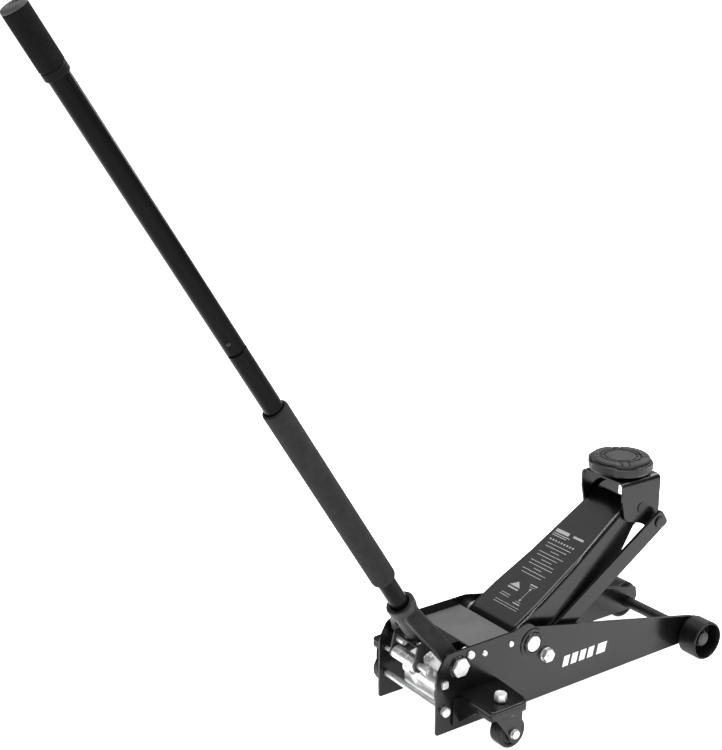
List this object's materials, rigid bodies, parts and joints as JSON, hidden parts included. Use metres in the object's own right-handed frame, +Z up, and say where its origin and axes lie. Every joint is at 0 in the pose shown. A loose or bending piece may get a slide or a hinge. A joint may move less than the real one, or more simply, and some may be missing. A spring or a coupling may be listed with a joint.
{
  "type": "hydraulic floor jack",
  "caption": "Low wheeled floor jack with a parallel lift arm, round padded saddle, pump roller and plunger, swivel casters and a long two-piece pump handle.",
  "frame": {"origin": "centre of the bounding box at floor level, with the saddle at the pictured height", "axes": "+X forward from the pump handle to the front wheels, +Y to the left, +Z up from the floor"},
  "size_m": [1.2932, 0.34, 1.2336],
  "materials": {
    "gloss_black": "gloss black paint on pressed steel",
    "satin_black": "satin black paint",
    "cast_grey": "dark grey coated casting",
    "cover_grey": "dark grey coated sheet",
    "zinc": "bright zinc plating",
    "rubber": "matte black moulded rubber",
    "foam": "matte black foam rubber",
    "grip_black": "textured black rubber",
    "wheel_black": "black painted solid steel",
    "caster_black": "black nylon"
  },
  "bodies": {
    "frame": {"side_plate_left": "gloss_black", "side_plate_right": "gloss_black", "rear_tie_rod": "zinc", "cover_plate": "cover_grey", "cover_screw_rear_left": "zinc", "cover_screw_rear_right": "zinc", "cover_screw_front_left": "zinc", "cover_screw_front_right": "zinc", "stop_screw_left": "zinc", "stop_screw_right": "zinc", "square_stud_left": "zinc", "square_stud_right": "zinc", "front_axle": "satin_black", "wheel_cap_left": "satin_black", "wheel_cap_right": "satin_black", "arm_pivot_shaft": "zinc", "link_bolt_left": "zinc", "link_bolt_right": "zinc", "power_unit": "zinc", "hydraulic_cylinder": "satin_black", "socket_bolt_left": "zinc", "socket_bolt_right": "zinc", "caster_bracket_left": "gloss_black", "caster_bracket_right": "gloss_black", "caster_bolt_left": "zinc", "caster_bolt_right": "zinc"},
    "arm": {"lift_arm": "gloss_black", "lever_pin": "zinc"},
    "saddle_carrier": {"saddle_bracket": "gloss_black", "arm_tip_pin": "satin_black", "link_pin_left": "satin_black", "link_pin_right": "satin_black"},
    "link_left": {"radius_link_left": "gloss_black"},
    "link_right": {"radius_link_right": "gloss_black"},
    "ram": {"ram_rod": "zinc"},
    "saddle": {"saddle_cup": "satin_black", "saddle_pad": "rubber"},
    "socket": {"handle_socket": "cast_grey", "socket_screw": "zinc", "roller_bracket": "cast_grey", "roller_pin": "zinc", "anchor_stud": "zinc"},
    "roller": {"pump_roller": "zinc"},
    "plunger": {"pump_plunger": "zinc"},
    "handle": {"lower_tube": "gloss_black", "upper_tube": "gloss_black", "foam_sleeve": "foam", "handle_grip": "grip_black", "grip_cap": "grip_black", "release_driver": "zinc"},
    "valve": {"release_valve": "zinc"},
    "button": {"detent_button": "satin_black"},
    "front_wheel_l": {"front_wheel_left": "wheel_black"},
    "front_wheel_r": {"front_wheel_right": "wheel_black"},
    "caster_l": {"caster_fork_left": "gloss_black", "caster_axle_left": "zinc"},
    "caster_r": {"caster_fork_right": "gloss_black", "caster_axle_right": "zinc"},
    "caster_wheel_l": {"caster_wheel_left": "caster_black"},
    "caster_wheel_r": {"caster_wheel_right": "caster_black"}
  },
  "joints": [
    {"name": "arm_lift", "type": "hinge", "parent": "frame", "child": "arm", "pos_m": [0.20711, 0, 0.132], "axis": [0, -1, 0], "range_deg": [-46.3, 15.1]},
    {"name": "saddle_level", "type": "hinge", "parent": "arm", "child": "saddle_carrier", "pos_m": [0.49161, 0, 0.31], "axis": [0, -1, 0], "range_deg": [-15.2, 46.4]},
    {"name": "link_left_swing", "type": "hinge", "parent": "frame", "child": "link_left", "pos_m": [0.23911, 0.067, 0.1015], "axis": [0, -1, 0], "range_deg": [-46.4, 15.2]},
    {"name": "link_right_swing", "type": "hinge", "parent": "frame", "child": "link_right", "pos_m": [0.23911, -0.067, 0.1015], "axis": [0, -1, 0], "range_deg": [-46.4, 15.2]},
    {"name": "ram_stroke", "type": "slide", "parent": "frame", "child": "ram", "axis": [1, 0, 0], "range_m": [-0.0376, 0.0124]},
    {"name": "saddle_turn", "type": "hinge", "parent": "saddle_carrier", "child": "saddle", "pos_m": [0.48661, 0, 0.37], "axis": [0, 0, 1], "continuous": true},
    {"name": "pump_stroke", "type": "hinge", "parent": "frame", "child": "socket", "pos_m": [0.04361, 0, 0.136], "axis": [0, 1, 0], "range_deg": [-18, 10]},
    {"name": "plunger_stroke", "type": "slide", "parent": "frame", "child": "plunger", "axis": [-0.4478, 0, 0.8942], "range_m": [-0.0142, 0.0079]},
    {"name": "roller_turn", "type": "hinge", "parent": "socket", "child": "roller", "pos_m": [-0.00339, 0, 0.131], "axis": [0, 1, 0], "continuous": true},
    {"name": "handle_twist", "type": "hinge", "parent": "socket", "child": "handle", "pos_m": [0.04361, 0, 0.136], "axis": [-0.527, 0, 0.8499], "range_deg": [0, 180]},
    {"name": "valve_turn", "type": "hinge", "parent": "frame", "child": "valve", "pos_m": [0.04361, 0, 0.136], "axis": [0, 0, 1], "range_deg": [-0.5, 180.5]},
    {"name": "button_press", "type": "slide", "parent": "handle", "child": "button", "axis": [0.4753, 0.829, 0.2947], "range_m": [0, 0.0025], "stiffness_N_per_m": 400, "springref_m": -0.002},
    {"name": "front_wheel_left_roll", "type": "hinge", "parent": "frame", "child": "front_wheel_l", "pos_m": [0.60961, 0.11, 0.037], "axis": [0, 1, 0], "continuous": true},
    {"name": "caster_left_swivel", "type": "hinge", "parent": "frame", "child": "caster_l", "pos_m": [0.08361, 0.145, 0.08], "axis": [0, 0, 1], "continuous": true},
    {"name": "caster_left_roll", "type": "hinge", "parent": "caster_l", "child": "caster_wheel_l", "pos_m": [0.06661, 0.145, 0.0285], "axis": [0, 1, 0], "continuous": true},
    {"name": "front_wheel_right_roll", "type": "hinge", "parent": "frame", "child": "front_wheel_r", "pos_m": [0.60961, -0.11, 0.037], "axis": [0, 1, 0], "continuous": true},
    {"name": "caster_right_swivel", "type": "hinge", "parent": "frame", "child": "caster_r", "pos_m": [0.08361, -0.145, 0.08], "axis": [0, 0, 1], "continuous": true},
    {"name": "caster_right_roll", "type": "hinge", "parent": "caster_r", "child": "caster_wheel_r", "pos_m": [0.10061, -0.145, 0.0285], "axis": [0, 1, 0], "continuous": true}
  ],
  "couplings": [
    {"joint": "saddle_level", "follows": "arm_lift", "ratio": -1},
    {"joint": "link_left_swing", "follows": "arm_lift", "ratio": 1},
    {"joint": "link_right_swing", "follows": "arm_lift", "ratio": 1},
    {"joint": "ram_stroke", "follows": "arm_lift", "m_per_rad": 0.0462},
    {"joint": "plunger_stroke", "follows": "pump_stroke", "m_per_rad": 0.0448},
    {"joint": "valve_turn", "follows": "handle_twist", "ratio": 1}
  ]
}
